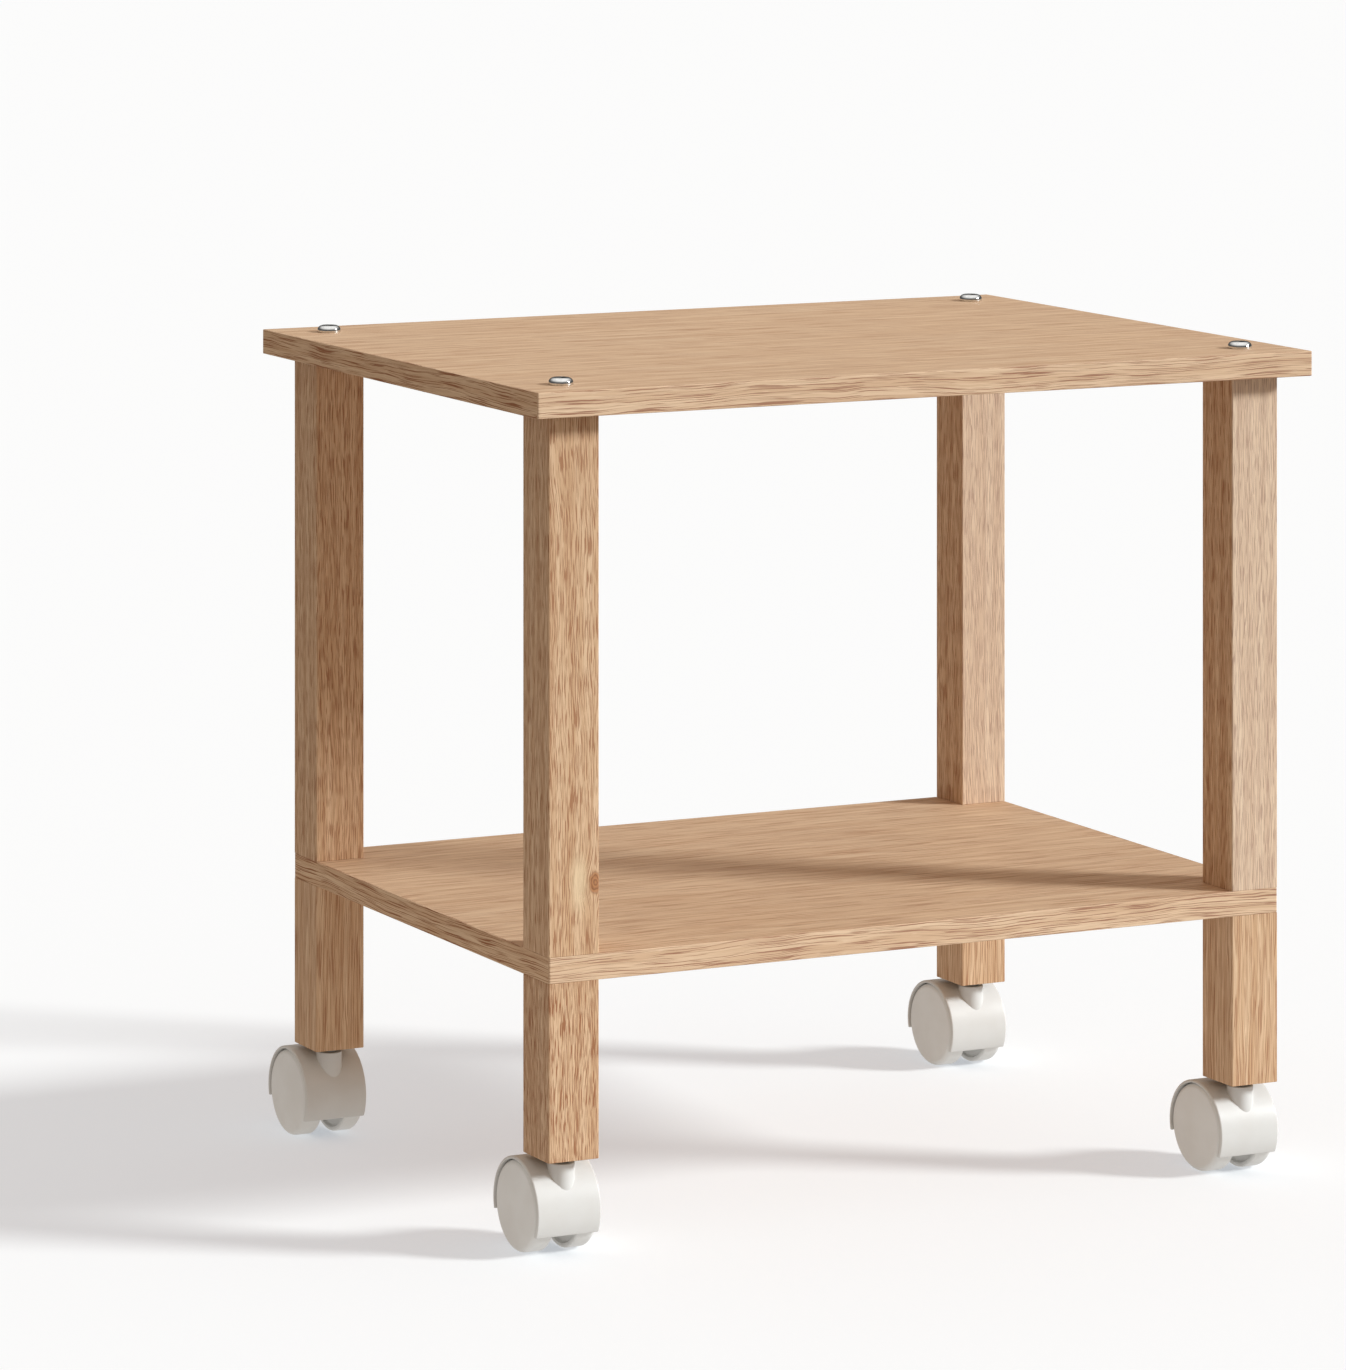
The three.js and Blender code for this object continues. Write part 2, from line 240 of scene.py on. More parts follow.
def oak(name, vector_source, figure, knot=None, pale=0.0):
    """An oak finish. vector_source(nodes) gives the grain vector in metres.

    figure is what figure() returns, and knot the place of a knot in millimetres, along and across the grain.
    pale is painted light: it lightens faces that look towards the front or upwards, where the key light
    falls.
    """
    made, n, surface = material(name)
    in_mm = {"Vector": vector_source(n), "Scale": (1 / MM, 1 / MM, 1 / MM)}
    vector = n.add("ShaderNodeMapping", in_mm).outputs[0]
    grain = n.add("ShaderNodeGroup", node_tree=OAK)
    n.feed(grain.inputs["Vector"], round_knot(n, vector, knot) if knot else vector)
    for key, value in figure.items():
        n.feed(grain.inputs[key], value)
    color = grain.outputs["Color"]
    if knot:
        color = knot_color(n, vector, knot, color)
    # Painted light: faces towards the front and upwards are lightened by pale, the way the key light lights
    # them.
    facing = n.split(n.add("ShaderNodeNewGeometry").outputs["Normal"])
    upward, backward = n.math("MAXIMUM", facing[2], 0.0), n.math("MINIMUM", facing[1], 0.0)
    lit = n.math("MULTIPLY", n.math("SUBTRACT", upward, backward, clamp=True), pale)
    n.feed(surface.inputs["Base Color"], n.mix(lit, color, OAK_PAINTED_LIGHT))
    smudge = n.ramp(n.noise(vector, (0.02, 0.02, 0.02), 3.0), 0.3, 0.7, 0.5, 0.6)
    open_pores = n.math("MULTIPLY", grain.outputs["Pores"], 0.2)
    n.feed(surface.inputs["Roughness"], n.math("ADD", smudge, open_pores))
    n.feed(surface.inputs["Specular IOR Level"], 0.25)
    height = n.math("SUBTRACT", n.math("MULTIPLY", grain.outputs["Sheen"], 0.25), grain.outputs["Pores"])
    bump(n, surface, height, 0.4, 0.00015)
    return made


def from_uv(n):
    return n.add("ShaderNodeUVMap", uv_map="grain").outputs[0]


def from_object(n):
    return n.add("ShaderNodeTexCoord").outputs["Object"]


def figure(*values):
    """Settings of the oak figure, in the order of FIGURE_KEYS, lengths in millimetres."""
    return dict(zip(FIGURE_KEYS, values))


# Up from the foot of the front left upper post, and across from its middle.
KNOT = (32.6, 11.0)
POST_FIGURE = figure(13.0, 0.4, 0.53, 0.8, 6.0)
FOOT_FIGURE = figure(11.0, 0.36, 0.515, 0.95, 6.0)
# The pale settings paint light onto faces towards the front and upwards.
BOARD_OAK = oak("oak_board_face", from_object, figure(36.0, 0.9, 0.565, 0.55, 12.0), pale=0.05)
BAND_OAK = oak("oak_edge_band", from_uv, figure(34.0, 0.5, 0.555, 1.0, 5.0), pale=0.07)
FOOT_OAK = oak("oak_lower_post", from_uv, FOOT_FIGURE)
STRAIGHT_OAK = oak("oak_straight_post", from_uv, figure(28.0, 0.42, 0.53, 0.72, 5.0))
POST_OAK = oak("oak_post", from_uv, POST_FIGURE)
KNOT_OAK = oak("oak_post_with_knot", from_uv, POST_FIGURE, KNOT)
PAINTED_LIGHT_OAK = oak("oak_post_painted_light_front", from_uv, POST_FIGURE, pale=0.2)


def end_grain():
    """Cut ends of the posts and the walls of the holes in them."""
    made, n, surface = material("oak_end_grain")
    place = from_object(n)
    specks = n.ramp(n.noise(place, (1400, 1400, 1400), 2.0), 0.55, 0.7)
    rings = n.ramp(n.noise(place, (160, 40, 160), 2.0), 0.3, 0.7)
    color = n.mix(rings, srgb(196, 158, 118), srgb(172, 132, 92))
    color = n.mix(n.math("MULTIPLY", specks, 0.6), color, srgb(122, 84, 52))
    n.feed(surface.inputs["Base Color"], color)
    n.feed(surface.inputs["Roughness"], n.ramp(specks, 0, 1, 0.7, 0.85))
    bump(n, surface, specks, 0.4, 0.0001)
    return made


END_GRAIN = end_grain()


# ---- plastic and metal ----
def plastic(name, color, warm):
    """Satin moulded plastic, in clouds of two close colours, with a fine moulded grain."""
    made, n, surface = material(name)
    place = from_object(n)
    clouds = n.noise(place, (60, 60, 60), 3.0)
    n.feed(surface.inputs["Base Color"], n.mix(n.ramp(clouds, 0.3, 0.7), color, warm))
    grain = n.noise(place, (2600, 2600, 2600), 2.0)
    n.feed(surface.inputs["Roughness"], n.ramp(clouds, 0.3, 0.7, 0.36, 0.46))
    n.feed(surface.inputs["Specular IOR Level"], 0.45)
    bump(n, surface, grain, 0.08, 0.00008)
    return made


def metal(name, color, rough, scratch_scale, bump_strength):
    """Bare or plated metal, duller and rougher where it is worn."""
    made, n, surface = material(name)
    wear = n.noise(from_object(n), scratch_scale, 4.0, 0.6)
    worn = [c * 0.82 for c in color[:3]] + [1]
    n.feed(surface.inputs["Base Color"], n.mix(n.ramp(wear, 0.3, 0.75), color, worn))
    n.feed(surface.inputs["Roughness"], n.ramp(wear, 0.3, 0.75, rough, rough + 0.12))
    n.feed(surface.inputs["Metallic"], 1.0)
    bump(n, surface, wear, bump_strength, 0.00005)
    return made


# The hood and the wheels are one plastic. The wheels are coloured lighter to lift their shaded side faces,
# and the hood darker to tone down its lit front: painted light and shade.
HOOD_PLASTIC = plastic("caster_plastic", srgb(221, 221, 219), srgb(217, 216, 213))
WHEEL_PLASTIC = plastic("wheel_plastic", srgb(236, 237, 236), srgb(232, 232, 230))
BOLT_STEEL = metal("bolt_steel", srgb(230, 229, 226), 0.05, (900, 900, 900), 0.05)
# Painted shade: the inside of the hexagon socket is coloured dark, the way the recess looks in shade.
SOCKET_PAINTED_SHADE = metal("socket_painted_shade", srgb(74, 71, 68), 0.5, (600, 600, 600), 0.1)
STEM_STEEL = metal("stem_steel", srgb(150, 148, 144), 0.34, (300, 300, 2400), 0.12)
ZINC = metal("zinc_plate", srgb(186, 186, 176), 0.38, (700, 700, 700), 0.15)


# ---- mesh helpers ----
def make(name, verts, faces, materials, smooth_angle=32):
    """A mesh piece with smooth shading that breaks at sharp edges."""
    mesh = bpy.data.meshes.new(name)
    mesh.from_pydata(verts, [], faces)
    mesh.validate()
    obj = bpy.data.objects.new(name, mesh)
    bpy.context.scene.collection.objects.link(obj)
    for each in materials:
        mesh.materials.append(each)
    mesh.shade_smooth()
    mesh.set_sharp_from_angle(angle=math.radians(smooth_angle))
    weighted = obj.modifiers.new("even_normals", "WEIGHTED_NORMAL")
    weighted.keep_sharp = True
    return obj


class Shell:
    """Collects closed skins made of loops of points, each loop with as many points as the one before."""

    def __init__(self):
        self.verts, self.faces = [], []

    def skin(self, loops, closed=False):
        """Quads between neighbouring loops. Ends are closed by a fan, or joined to each other if closed."""
        count, start = len(loops[0]), len(self.verts)
        for loop in loops:
            self.verts += [tuple(p) for p in loop]
        rows = len(loops)
        for i in range(rows if closed else rows - 1):
            a, b = start + i * count, start + ((i + 1) % rows) * count
            for k in range(count):
                m = (k + 1) % count
                self.faces.append((a + k, a + m, b + m, b + k))
        if not closed:
            for base, flip in ((start, True), (start + (rows - 1) * count, False)):
                hub = len(self.verts)
                ring = self.verts[base : base + count]
                self.verts.append(tuple(sum(p[i] for p in ring) / count for i in range(3)))
                for k in range(count):
                    m = (k + 1) % count
                    face = (base + m, base + k, hub) if flip else (base + k, base + m, hub)
                    self.faces.append(face)
        return self


def circle(radius, z, count):
    bearings = [2 * math.pi * k / count for k in range(count)]
    return [(radius * math.cos(b), radius * math.sin(b), z) for b in bearings]


def turned(profile, count=64):
    """Loops for a profile of (radius, height) pairs turned round Z. Radii stay above zero."""
    return [circle(max(r, 1e-5), z, count) for r, z in profile]


def arc(cx, cy, radius, start, end, steps):
    """Points on an arc, its angles in degrees, ends included."""
    angles = [math.radians(start + (end - start) * i / steps) for i in range(steps + 1)]
    return [(cx + radius * math.cos(a), cy + radius * math.sin(a)) for a in angles]


def easing(size, degrees):
    """(inset, rise) steps that round an edge off by size, from the flat face to the side."""
    angles = [math.radians(d) for d in degrees]
    return [(size * (1 - math.sin(a)), size * (1 - math.cos(a))) for a in angles]


# Corners of an outline, anticlockwise: signs of x and y, and the bearing at which the corner's arc starts.
QUARTERS = ((1, 1, 0), (-1, 1, 90), (-1, -1, 180), (1, -1, 270))


def moved(loops, matrix):
    return [[tuple(matrix @ Vector(p)) for p in loop] for loop in loops]


def place(obj, body, node, slot):
    """Ties a piece to the body it rides on and hides the CAD node it stands for. slot, the kind of its
    finish, is not used.
    """
    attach(obj, body)
    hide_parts(node)


def grain_map(obj, coordinate):
    """Fills the UV layer "grain" from coordinate(position, normal): metres along and across the grain."""
    layer = obj.data.uv_layers.new(name="grain")
    for polygon in obj.data.polygons:
        for corner in polygon.loop_indices:
            vertex = obj.data.vertices[obj.data.loops[corner].vertex_index]
            layer.data[corner].uv = coordinate(vertex.co, polygon.normal)


# ---- edge bands ----
BAND = 1.0 * MM
EASE = 0.35 * MM
BAND_CORNER = 1.1 * MM
SIDE_APART = 1.3  # metres of grain between one side of a band and the next, so that no two look alike


def edge_band(name, box, node, seed):
    """One band round a board, wrapped round its corners, with both long edges eased."""
    low, high = box
    centre = (low + high) / 2
    half_x, half_y = (high.x - low.x) / 2, (high.y - low.y) / 2

    def outline(inset, z):
        """The band's outline, drawn in by inset, at this height."""
        r = max(BAND_CORNER - inset, 0.1 * MM)
        points = []
        for sx, sy, turn in QUARTERS:
            x, y = centre.x + sx * (half_x - inset - r), centre.y + sy * (half_y - inset - r)
            points += arc(x, y, r, turn, turn + 90, 6)
        return [(x, y, z) for x, y in points]

    ease = easing(EASE, (0, 22, 45, 68, 90))
    loops = [outline(inset, low.z + rise) for inset, rise in ease]
    loops += [outline(inset, high.z - rise) for inset, rise in reversed(ease)]
    loops += [outline(BAND, high.z), outline(BAND, low.z)]
    shell = Shell().skin(loops, closed=True)
    obj = make(name, shell.verts, shell.faces, [BAND_OAK])

    def coordinate(p, normal):
        """Grain runs round the board; the top and bottom edges carry on from the outside."""
        past_x = abs(p.x - centre.x) - half_x > abs(p.y - centre.y) - half_y
        along, depth = (p.y, p.x) if past_x else (p.x, p.y)
        side = SIDE_APART * (past_x + 2 * (depth > 0))
        return along + seed + side, p.z + abs(depth) * (abs(normal.z) > 0.7) + seed * 3 + side

    grain_map(obj, coordinate)
    place(obj, "frame", node, "edge_band")


# ---- posts ----
POST_ROUND = 0.7 * MM
POST_END = 0.3 * MM
# Flange radius, barrel radius and length of the threaded inserts, and the holes they sit in, in millimetres.
JOINT_INSERT = (6.6, 5.8, 12)
CASTER_INSERT = (7.4, 6.5, 14)
INSERT_GAP = 0.2
FLANGE_DEPTH = 1.2
PILOT_RADIUS, PILOT_PAST = 3.3, 8


def square_loop(half, radius, z):
    """A square outline with rounded corners, and three points along each side."""
    points = []
    for sx, sy, turn in QUARTERS:
        points += arc(sx * (half - radius), sy * (half - radius), radius, turn, turn + 90, 4)
        for f in (0.66, 0, -0.66):
            points.append((half * sx * f, half * sy) if sx == sy else (half * sx, half * sy * f))
    return [(x, y, z) for x, y in points]


def around(loop, radius, z):
    """A circle with one point on the same bearing as each point of loop."""
    return [(radius * x / math.hypot(x, y), radius * y / math.hypot(x, y), z) for x, y, _ in loop]


def pocket(outline, z, inward, flange, barrel, depth):
    """Loops from the bottom of an insert's hole out to the post's end face."""
    bottom, barrel, flange = depth + INSERT_GAP, barrel + INSERT_GAP, flange + INSERT_GAP
    steps = [(PILOT_RADIUS, depth + PILOT_PAST), (PILOT_RADIUS, bottom), (barrel, bottom)]
    steps += [(barrel, FLANGE_DEPTH), (flange, FLANGE_DEPTH), (flange, 0)]
    return [around(outline, r * MM, z + inward * d * MM) for r, d in steps]


def post_piece(name, corner, node, seed, foot, finish):
    """One length of a post with its edges eased. foot is the size of the insert in its lower end."""
    low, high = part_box(node)
    half = (high.x - low.x) / 2
    outline = square_loop(half, POST_ROUND, 0)
    ease = easing(POST_END, (0, 30, 60, 90))
    loops = pocket(outline, low.z, 1, *foot)
    loops += [square_loop(half - inset, POST_ROUND, low.z + rise) for inset, rise in ease]
    loops += [square_loop(half - inset, POST_ROUND, high.z - rise) for inset, rise in reversed(ease)]
    loops += list(reversed(pocket(outline, high.z, -1, *JOINT_INSERT)))
    shell = Shell().skin(moved(loops, on_column(corner)))
    obj = make(name, shell.verts, shell.faces, [finish, END_GRAIN])
    for polygon in obj.data.polygons:
        if abs(polygon.normal.z) > 0.9 or (polygon.center - COLUMN[corner]).xy.length < half * 0.7:
            polygon.material_index = 1

    def coordinate(p, normal):
        """The four faces follow one another across the grain, as if unrolled."""
        x, y = p.x - COLUMN[corner].x, p.y - COLUMN[corner].y
        if abs(normal.y) >= abs(normal.x):
            across = x if normal.y < 0 else 4 * half - x
        else:
            across = 2 * half + y if normal.x > 0 else -2 * half - y
        return p.z - low.z + seed * 1.7, across + seed * 0.9

    grain_map(obj, coordinate)
    place(obj, "frame", node, "post")


# ---- bolts ----
HEAD = 5.8 * MM
HEAD_RIM = 1.0 * MM
CROWN = 3.2 * MM
SHANK = 2.9 * MM
HEX_FLATS = 4.4 * MM
HEX_DEPTH = 2.0 * MM


def hexagon(flats, z, count=64):
    """A hexagon across these flats, with as many points as the round loops of a bolt."""
    points = []
    for k in range(count):
        bearing = 2 * math.pi * k / count
        fold = (bearing % (math.pi / 3)) - math.pi / 6
        r = flats / 2 / math.cos(fold)
        points.append((r * math.cos(bearing), r * math.sin(bearing), z))
    return points


def bolt(corner):
    """A button-head bolt: domed head with a hexagon socket, and its shank."""
    node = f"top_bolt_{corner}"
    low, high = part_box(node)
    seat, top = TOP[1].z, high.z
    rim = seat + HEAD_RIM
    loops = turned([(SHANK - 0.6 * MM, low.z), (SHANK, low.z + 0.6 * MM), (SHANK, seat)])
    loops += turned([(HEAD - 0.2 * MM, seat), (HEAD, seat + 0.2 * MM), (HEAD, rim)])
    for angle in (10, 22, 34, 46, 58, 68, 78):
        a = math.radians(angle)
        loops += turned([(CROWN + (HEAD - CROWN) * math.cos(a), rim + (top - rim) * math.sin(a))])
    loops += turned([(CROWN + 0.2 * MM, top), (CROWN - 0.2 * MM, top - 0.12 * MM)])
    loops += [hexagon(HEX_FLATS + 0.3 * MM, top - 0.2 * MM)]
    loops += [hexagon(HEX_FLATS, top - depth) for depth in (0.4 * MM, HEX_DEPTH)]
    loops += turned([(0.4 * MM, top - HEX_DEPTH - 0.5 * MM)])
    shell = Shell().skin(moved(loops, on_column(corner)))
    obj = make(f"bolt_{corner}", shell.verts, shell.faces, [BOLT_STEEL, SOCKET_PAINTED_SHADE], 40)
    # The socket's inside takes the dark steel: painted shade in the recess.
    for polygon in obj.data.polygons:
        reach = (polygon.center - COLUMN[corner]).xy.length
        if reach < SHANK - 0.1 * MM and polygon.center.z > seat:
            polygon.material_index = 1
    place(obj, "frame", node, "bolt_steel")


# ---- casters: lengths in millimetres, hood ends in degrees from +Y over the top ----
HOOD_OUT, HOOD_IN, HOOD_HALF = 22.8, 21.45, 16.6
HOOD_BACK, HOOD_FRONT = -15.0, 208.0
SHOULDER, LIP = 1.0, 0.3
HOOD_END = 1.2
HOOD_FLAT = 10
WEB_HALF, WEB_INNER, WEB_OUTER = 2, 1, 22
HUB_BORE, HUB_RADIUS, HUB_HALF = 2.6, 5, 6
BOSS_RADIUS, BOSS_TOP, BOSS_FOOT = 6.4, 43.2, 27
SOCKET_BORE, SOCKET_RADIUS, SOCKET_FOOT = 3.6, 5.5, 14
WHEEL_IN, WHEEL_OUT, WHEEL_RADIUS = 6.2, 16.8, 21.0


def hood_section(shrink):
    """The hood's cross-section as (x, radius): a thin shell with rounded outer shoulders."""
    out, inn, half = HOOD_OUT - shrink, HOOD_IN + shrink, HOOD_HALF - shrink
    shoulder, lip = max(SHOULDER - shrink, 0.2), max(LIP - shrink, 0.05)
    outside = arc(half - shoulder, out - shoulder, shoulder, 90, 0, 6)
    inside = arc(half - lip, inn + lip, lip, 0, -90, 3)
    points = outside + inside + [(x, inn) for x in (HOOD_FLAT, 0, -HOOD_FLAT)]
    points += [(-x, r) for x, r in reversed(inside)]
    points += [(-x, r) for x, r in reversed(outside)]
    return points + [(x, out) for x in (-HOOD_FLAT, 0, HOOD_FLAT)]


def swing(points, angle):
    """(x, radius) pairs turned about the axle to this angle, in degrees from +Y over the top."""
    c, s = math.cos(math.radians(angle)), math.sin(math.radians(angle))
    return [(x * MM, r * MM * c, r * MM * s) for x, r in points]


def sideways(profile, count=96):
    """A profile of (radius, x) pairs turned about the axle."""
    turn = Matrix.Rotation(math.radians(90), 4, "Y")
    return moved(turned([(r * MM, x * MM) for r, x in profile], count), turn)


def hood():
    """The hood swept from its front end over the top to its back end, both ends rounded off."""
    steps = 72
    rounding = [(0.55, 0.0), (0.3, 0.12), (0.1, 0.45), (0.0, HOOD_END)]
    span = (HOOD_FRONT - HOOD_END) - (HOOD_BACK + HOOD_END)
    loops = [swing(hood_section(inset), HOOD_FRONT - turn) for inset, turn in rounding]
    loops += [swing(hood_section(0), HOOD_FRONT - HOOD_END - span * i / steps) for i in range(1, steps)]
    loops += [swing(hood_section(inset), HOOD_BACK + turn) for inset, turn in reversed(rounding)]
    return loops


def web():
    """The flat web between the wheels, as wide a sweep as the hood."""
    steps = 48
    section = [(WEB_HALF, WEB_INNER), (WEB_HALF, WEB_OUTER), (-WEB_HALF, WEB_OUTER), (-WEB_HALF, WEB_INNER)]
    span = HOOD_FRONT - HOOD_BACK
    return [swing(section, HOOD_FRONT - span * i / steps) for i in range(steps + 1)]


def hub():
    """The hub round the axle, with an open bore through it and both ends eased."""
    eased, face = HUB_RADIUS - 0.3, HUB_HALF - 0.3
    profile = [(HUB_BORE, -HUB_HALF), (eased, -HUB_HALF), (HUB_RADIUS, -face)]
    profile += [(HUB_RADIUS, face), (eased, HUB_HALF), (HUB_BORE, HUB_HALF)]
    return sideways(profile, 48)


def boss():
    """The boss that carries the stem, and its narrower socket between the wheels."""
    profile = [(SOCKET_BORE, SOCKET_FOOT), (SOCKET_RADIUS, SOCKET_FOOT), (SOCKET_RADIUS, BOSS_FOOT - 0.1)]
    profile += [(BOSS_RADIUS, BOSS_FOOT), (BOSS_RADIUS, 36), (BOSS_RADIUS, BOSS_TOP - 0.5)]
    profile += [(BOSS_RADIUS - 0.15, BOSS_TOP - 0.15), (BOSS_RADIUS - 0.5, BOSS_TOP), (SOCKET_BORE, BOSS_TOP)]
    return turned([(r * MM, z * MM) for r, z in profile])


def caster_body(corner):
    """Hood, web, hub and boss of one caster, moulded as one."""
    shell = Shell()
    at_axle = Matrix.Translation(AXLE[corner])
    shell.skin(moved(hood(), at_axle))
    shell.skin(moved(web(), at_axle))
    shell.skin(moved(hub(), at_axle), closed=True)
    shell.skin(moved(boss(), on_column(corner)), closed=True)
    obj = make(f"hood_{corner}", shell.verts, shell.faces, [HOOD_PLASTIC], 40)
    place(obj, f"caster_{corner}", f"caster_body_{corner}", "caster_plastic")


def wheel_profile():
    """(radius, x) pairs from the blind bearing hole over the inner face and the tread to the outer dome."""
    hole = WHEEL_OUT - 2.2
    profile = [(0.5, hole), (2.6, hole)]
    bearing = [(2.6, 0.2), (2.9, 0), (5.2, 0), (5.5, 0.3)]
    dish = [(5.7, 1.3), (6.3, 1.6), (17.9, 1.6), (18.4, 1.2), (18.7, 0.3)]
    rim = [(19.0, 0.05), (20.0, 0), (20.6, 0.25), (20.9, 0.6), (WHEEL_RADIUS, 1.1), (WHEEL_RADIUS, 4)]
    profile += [(r, WHEEL_IN + depth) for r, depth in bearing + dish + rim]
    profile += [(WHEEL_RADIUS, WHEEL_OUT - 3.2)]
    profile += arc(WHEEL_RADIUS - 2.6, WHEEL_OUT - 3.0, 2.6, 0, 84, 8)[1:]
    dome, edge = 0.4, 18.2
    return profile + [(r, WHEEL_OUT - dome + dome * (1 - (r / edge) ** 2)) for r in (16, 12, 8, 4, 1)]


def wheel(corner, side):
    """A wheel with a shallow dish in its inner face and a softly domed outer face."""
    profile = wheel_profile()
    if side == "left":
        profile = [(r, -x) for r, x in profile]
    loops = moved(sideways(profile), Matrix.Translation(AXLE[corner]))
    if side == "left":
        loops = [list(reversed(loop)) for loop in loops]
    shell = Shell().skin(loops)
    obj = make(f"wheel_{side}_{corner}_tyre", shell.verts, shell.faces, [WHEEL_PLASTIC], 40)
    place(obj, f"{side}_wheel_{corner}", f"wheel_{side}_{corner}", "wheel_plastic")


def stem(corner):
    """The caster's stem: a pin with a snap bead, a collar under the post and a thread above it."""
    node = f"caster_stem_{corner}"
    low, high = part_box(node)
    pin, bead, collar = 3.5, 4, 4.4
    profile = [(3.3, low.z / MM), (pin, 16.6), (bead, 17.1), (bead, 18.6), (pin, 18.8), (pin, 43.4)]
    profile += [(collar - 0.15, 43.4), (collar, 43.55), (collar, 45.85), (collar - 0.15, 46)]
    crest, depth, half_pitch = 3.9, 0.35, 0.625
    profile += [(crest, 46)] + [(crest - depth * (i % 2), 46.4 + half_pitch * i) for i in range(22)]
    profile += [(3.1, high.z / MM)]
    shell = Shell().skin(moved(turned([(r * MM, z * MM) for r, z in profile], 48), on_column(corner)))
    obj = make(f"stem_{corner}", shell.verts, shell.faces, [STEM_STEEL], 40)
    place(obj, "frame", node, "stem_steel")


# ---- build the stand ----
# The seeds take the grain of each piece from a place of its own in the figure.
LOWER_SEED = 5.13
edge_band("edge_band_top", TOP, "top_edge_band", 0.41)
edge_band("edge_band_shelf", SHELF, "shelf_edge_band", 2.27)
for index, corner in enumerate(CORNERS):
    # The right-hand upper posts take the oak with painted light on their front faces.
    finish = {"front_left": KNOT_OAK, "back_left": POST_OAK}.get(corner, PAINTED_LIGHT_OAK)
    post_piece(f"post_upper_{corner}", corner, f"upper_post_{corner}", index, JOINT_INSERT, finish)
    finish = FOOT_OAK if corner == "front_left" else STRAIGHT_OAK
    seed = LOWER_SEED + index
    post_piece(f"post_lower_{corner}", corner, f"lower_post_{corner}", seed, CASTER_INSERT, finish)
    bolt(corner)
    stem(corner)
    caster_body(corner)
    wheel(corner, "right")
    wheel(corner, "left")

# The boards and the hardware inside keep their CAD shapes and get better finishes.
for node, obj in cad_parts.items():
    finish = None
    if node in ("top_board", "lower_shelf"):
        finish = BOARD_OAK
    elif "insert" in node or "stud" in node:
        finish = ZINC
    elif "axle" in node:
        finish = STEM_STEEL
    if finish:
        obj.data.materials.clear()
        obj.data.materials.append(finish)


# ---- floor, light and camera ----
FLOOR_REACH = 60.0
FLOOR_SEEN = (0.648, 0.642, 0.622, 1)
FLOOR_GLOW = (0.358, 0.39, 0.432, 1)
FLOOR_UNSEEN = (0.3, 0.3, 0.3, 1)
FLOOR_BOUNCE = (1.0, 0.97, 0.93, 1)
# Strength of the bounce near the middle of the stand and away from it, and where the fade starts and ends.
BOUNCE_STRENGTH = (0.44, 0.04)
BOUNCE_FADE = (0.25, 0.9)
FILL_COLOR, FILL_STRENGTH = (1.0, 0.85, 0.72, 1), 0.45
BACKDROP = (0.96, 0.96, 0.96, 1)


def floor():
    """A wide pale floor. The camera sees it bright; the light it throws on the stand is set separately."""
    mesh = bpy.data.meshes.new("floor")
    mesh.from_pydata([(FLOOR_REACH * sx, FLOOR_REACH * sy, 0) for sx, sy, _ in QUARTERS], [], [(0, 1, 2, 3)])
    obj = bpy.data.objects.new("floor", mesh)
    bpy.context.scene.collection.objects.link(obj)
    made, n, surface = material("pale_floor")
    seen = n.add("ShaderNodeLightPath").outputs["Is Camera Ray"]
    position = n.add("ShaderNodeNewGeometry").outputs["Position"]
    far = n.add("ShaderNodeVectorMath", {0: position}, operation="LENGTH").outputs["Value"]
    thrown = n.ramp(far, *BOUNCE_FADE, *BOUNCE_STRENGTH)
    n.feed(surface.inputs["Base Color"], n.mix(seen, FLOOR_UNSEEN, FLOOR_SEEN))
    n.feed(surface.inputs["Roughness"], 0.9)
    n.feed(surface.inputs["Specular IOR Level"], 0.0)
    n.feed(surface.inputs["Emission Color"], n.mix(seen, FLOOR_BOUNCE, FLOOR_GLOW))
    strength = n.add("ShaderNodeMix", {0: seen, 2: thrown, 3: 1.0}, data_type="FLOAT").outputs[0]
    n.feed(surface.inputs["Emission Strength"], strength)
    mesh.materials.append(made)


def sun(name, toward, strength, softness, color):
    """A sun that stands in the direction toward. softness is its width in degrees."""
    light = bpy.data.lights.new(name, "SUN")
    light.energy, light.angle, light.color = strength, math.radians(softness), color
    obj = bpy.data.objects.new(name, light)
    obj.rotation_euler = Vector(toward).to_track_quat("Z", "Y").to_euler()
    bpy.context.scene.collection.objects.link(obj)


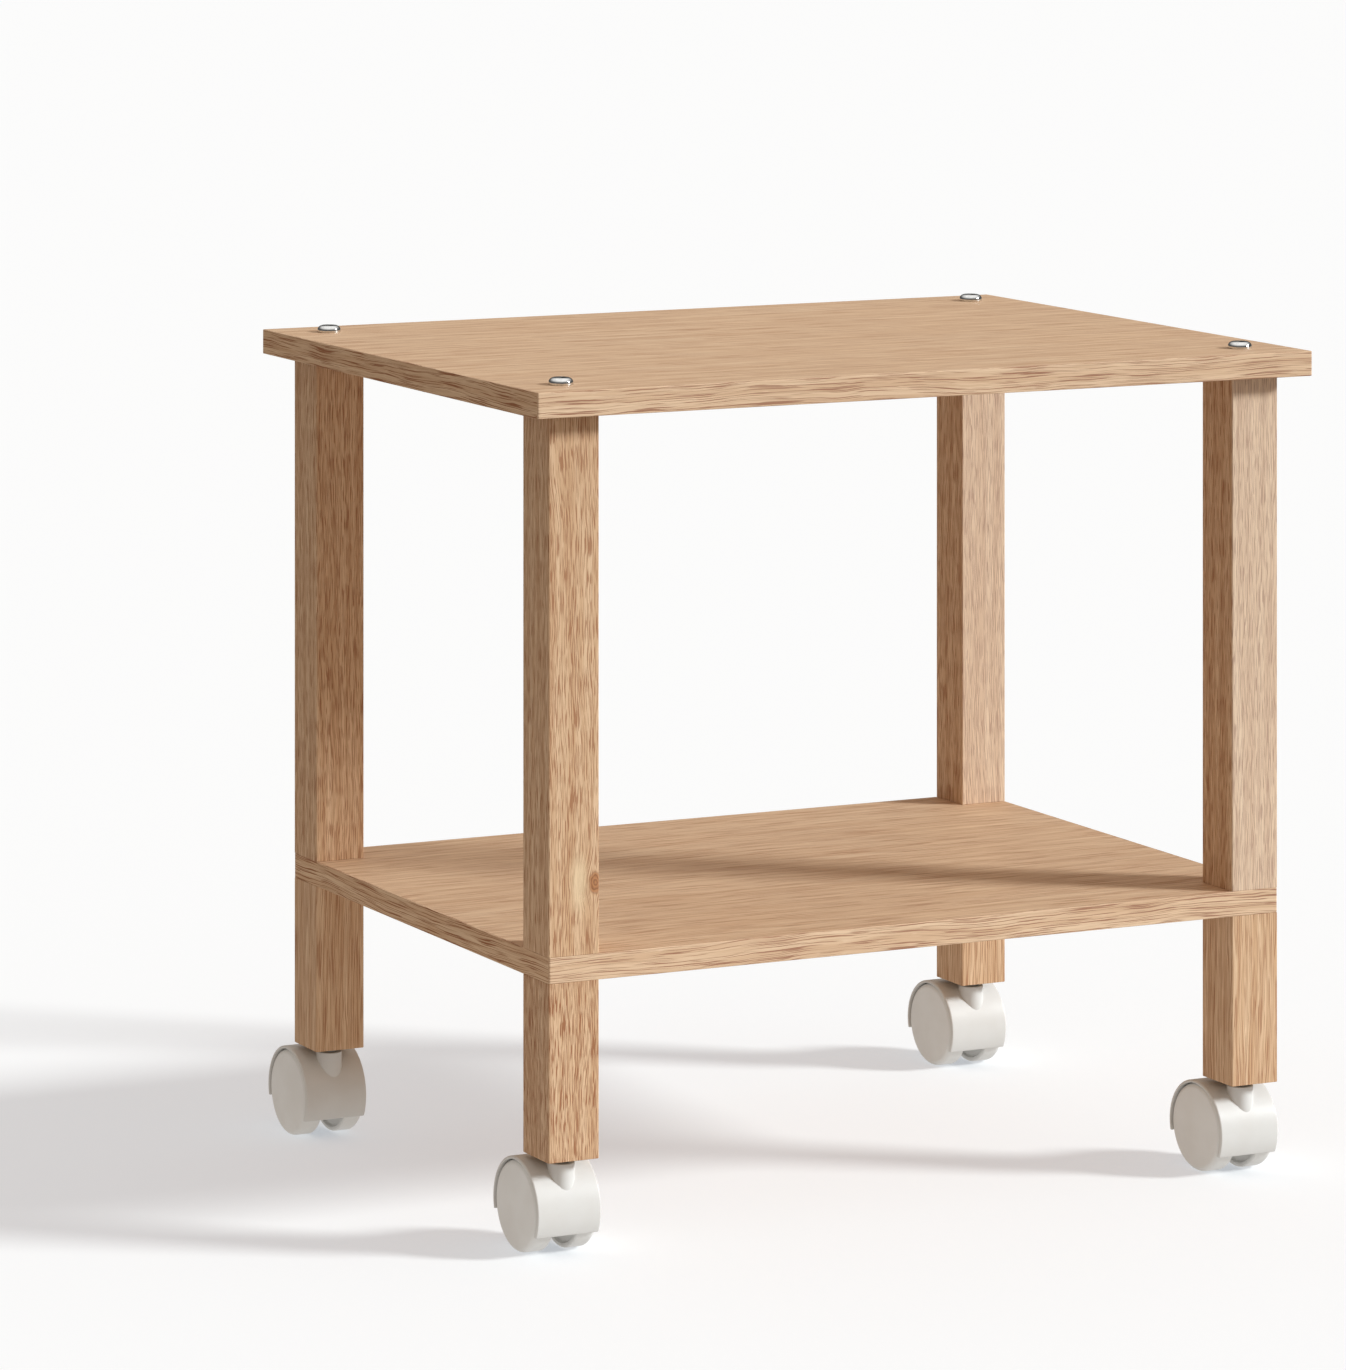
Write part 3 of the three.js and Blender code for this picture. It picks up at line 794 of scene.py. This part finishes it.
def surroundings():
    """Warm soft fill, a light overhead for mirror reflections, and a plain pale backdrop for the camera."""
    world = bpy.data.worlds.new("studio")
    world.use_nodes = True
    world.node_tree.nodes.clear()
    n = Nodes(world.node_tree)

    def background(color, strength):
        return n.add("ShaderNodeBackground", {"Color": color, "Strength": strength}).outputs[0]

    def switch(factor, a, b):
        return n.add("ShaderNodeMixShader", {0: factor, 1: a, 2: b}).outputs[0]

    height = n.split(n.add("ShaderNodeTexCoord").outputs["Generated"])[2]
    mirrored = background((0.8, 0.8, 0.8, 1), n.ramp(height, 0.25, 0.9, 0.12, 1.3))
    ray = n.add("ShaderNodeLightPath").outputs
    soft = switch(ray["Is Glossy Ray"], background(FILL_COLOR, FILL_STRENGTH), mirrored)
    shown = switch(ray["Is Camera Ray"], soft, background(BACKDROP, 1.0))
    n.add("ShaderNodeOutputWorld", {0: shown})
    bpy.context.scene.world = world


def lens_shift(camera, channel, amount):
    """A lens shift for the camera as placed here, by Euler angles. Turned by a quaternion, it has none.

    The driver reads the rotation mode, which is 1 for Euler angles and 0 for a quaternion.
    """
    curve = camera.data.driver_add(channel)
    curve.driver.type = "AVERAGE"
    by_euler = curve.driver.variables.new()
    by_euler.targets[0].id = camera
    by_euler.targets[0].data_path = "rotation_mode"
    curve.modifiers[0].coefficients = (0.0, amount)


def studio_camera():
    """A long lens with rise and shift, level with the floor, so the posts stay upright in the picture."""
    data = bpy.data.cameras.new("studio_camera")
    camera = bpy.data.objects.new("studio_camera", data)
    bpy.context.scene.collection.objects.link(camera)
    yaw = math.radians(24.5)
    camera.location = (-1.4783, -2.6273, 0.7227)
    camera.rotation_euler = (math.radians(90), 0, -yaw)
    data.sensor_width = 36.0
    data.lens = 160.6
    data.clip_end = 200.0
    lens_shift(camera, "shift_x", 0.3068)
    lens_shift(camera, "shift_y", -0.7320)
    bpy.context.scene.camera = camera


floor()
surroundings()
sun("key", (0.736, -0.515, 0.438), 3.4, 11, (0.95, 1.0, 1.03))
sun("overhead", (0.1, -0.1, 1.0), 0.15, 75, (1.0, 1.0, 1.0))
studio_camera()
bpy.context.scene.view_settings.view_transform = "Standard"
